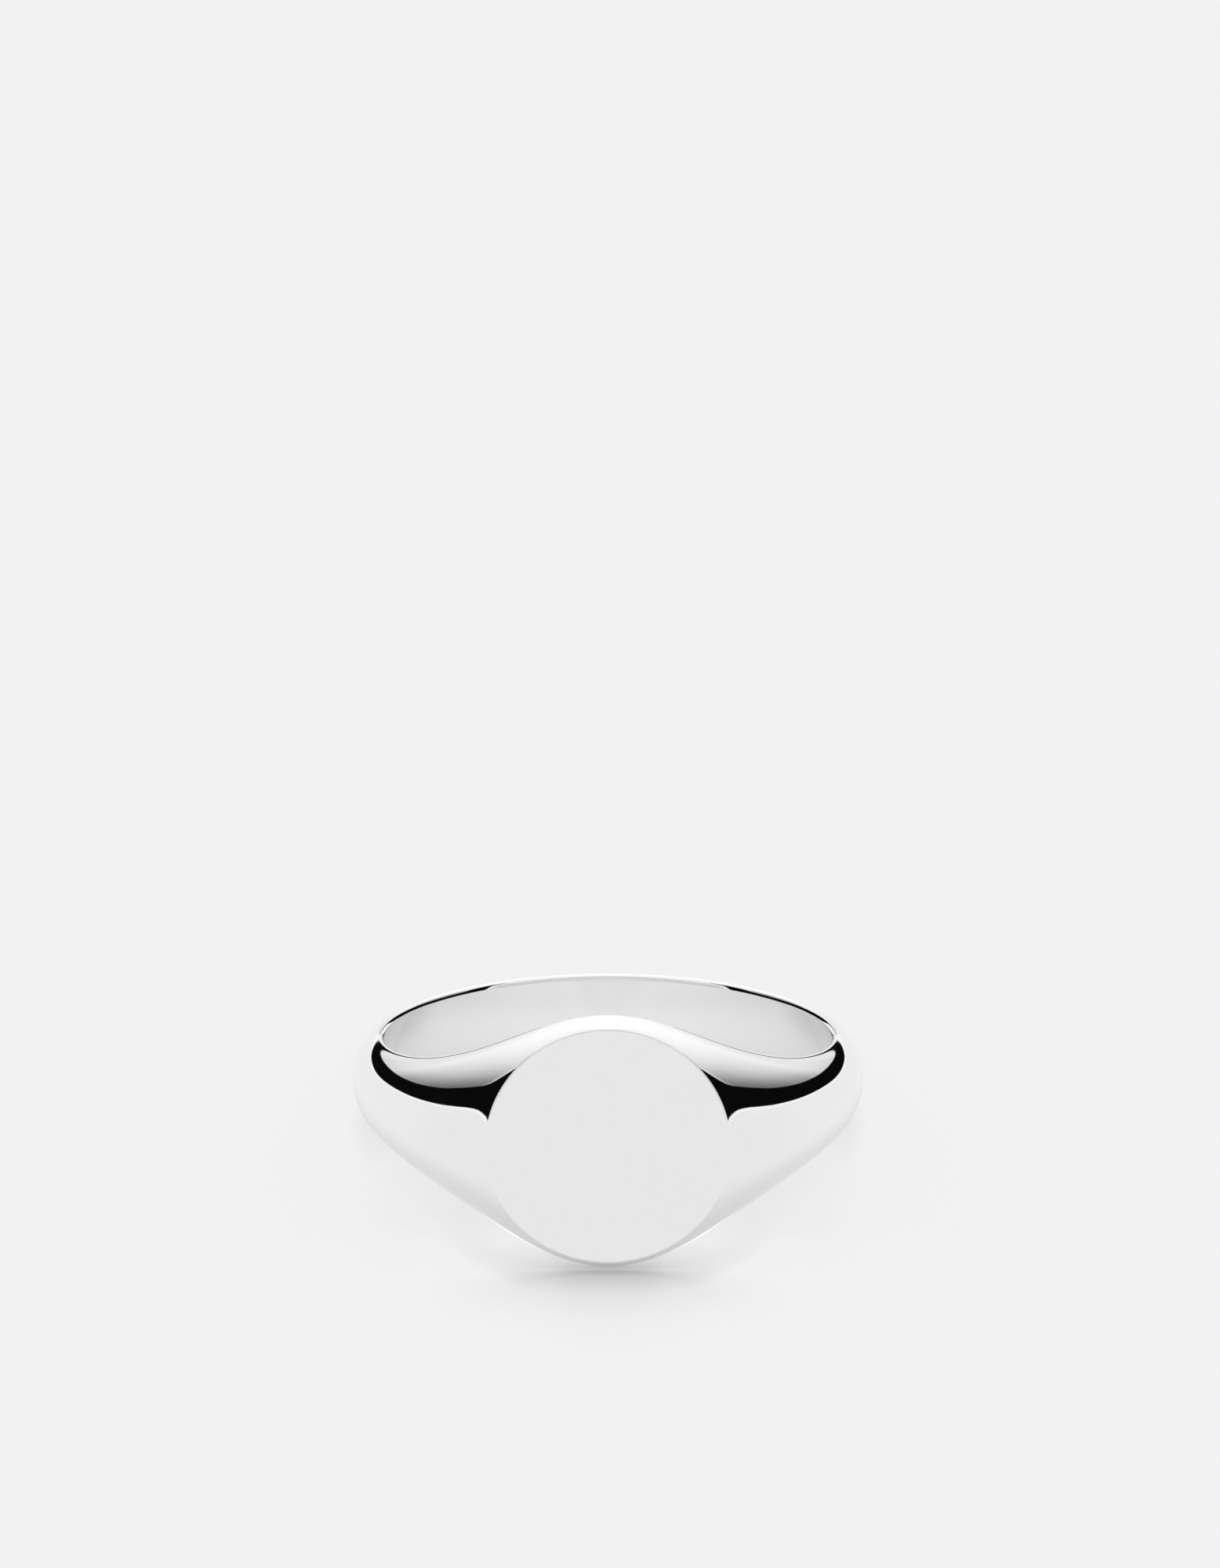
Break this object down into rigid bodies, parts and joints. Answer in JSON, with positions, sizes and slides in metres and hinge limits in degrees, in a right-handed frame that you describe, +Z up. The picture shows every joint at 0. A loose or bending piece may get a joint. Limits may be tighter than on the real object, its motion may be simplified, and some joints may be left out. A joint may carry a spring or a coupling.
{
  "type": "signet ring",
  "caption": "Plain polished finger ring with a round flat face on a wide head, tapered shoulders and a narrow shank.",
  "frame": {"origin": "middle of the footprint, on the plane the ring lies on", "axes": "+Z up from the plane the ring lies on; +X across the ring, through its mirror plane; the face looks towards -Y and a little up"},
  "size_m": [0.0218, 0.0216, 0.0106],
  "materials": {
    "face_plate": "mirror-polished sterling silver",
    "head": "mirror-polished sterling silver",
    "shoulders": "mirror-polished sterling silver",
    "shank": "mirror-polished sterling silver",
    "hard_solder": "polished flush silver hard solder"
  },
  "bodies": {
    "root": {"face_plate": "face_plate", "face_plate_solder": "hard_solder", "head": "head", "left_head_solder": "hard_solder", "right_head_solder": "hard_solder", "left_shoulder": "shoulders", "right_shoulder": "shoulders", "left_shank_solder": "hard_solder", "right_shank_solder": "hard_solder", "shank": "shank"}
  },
  "joints": []
}
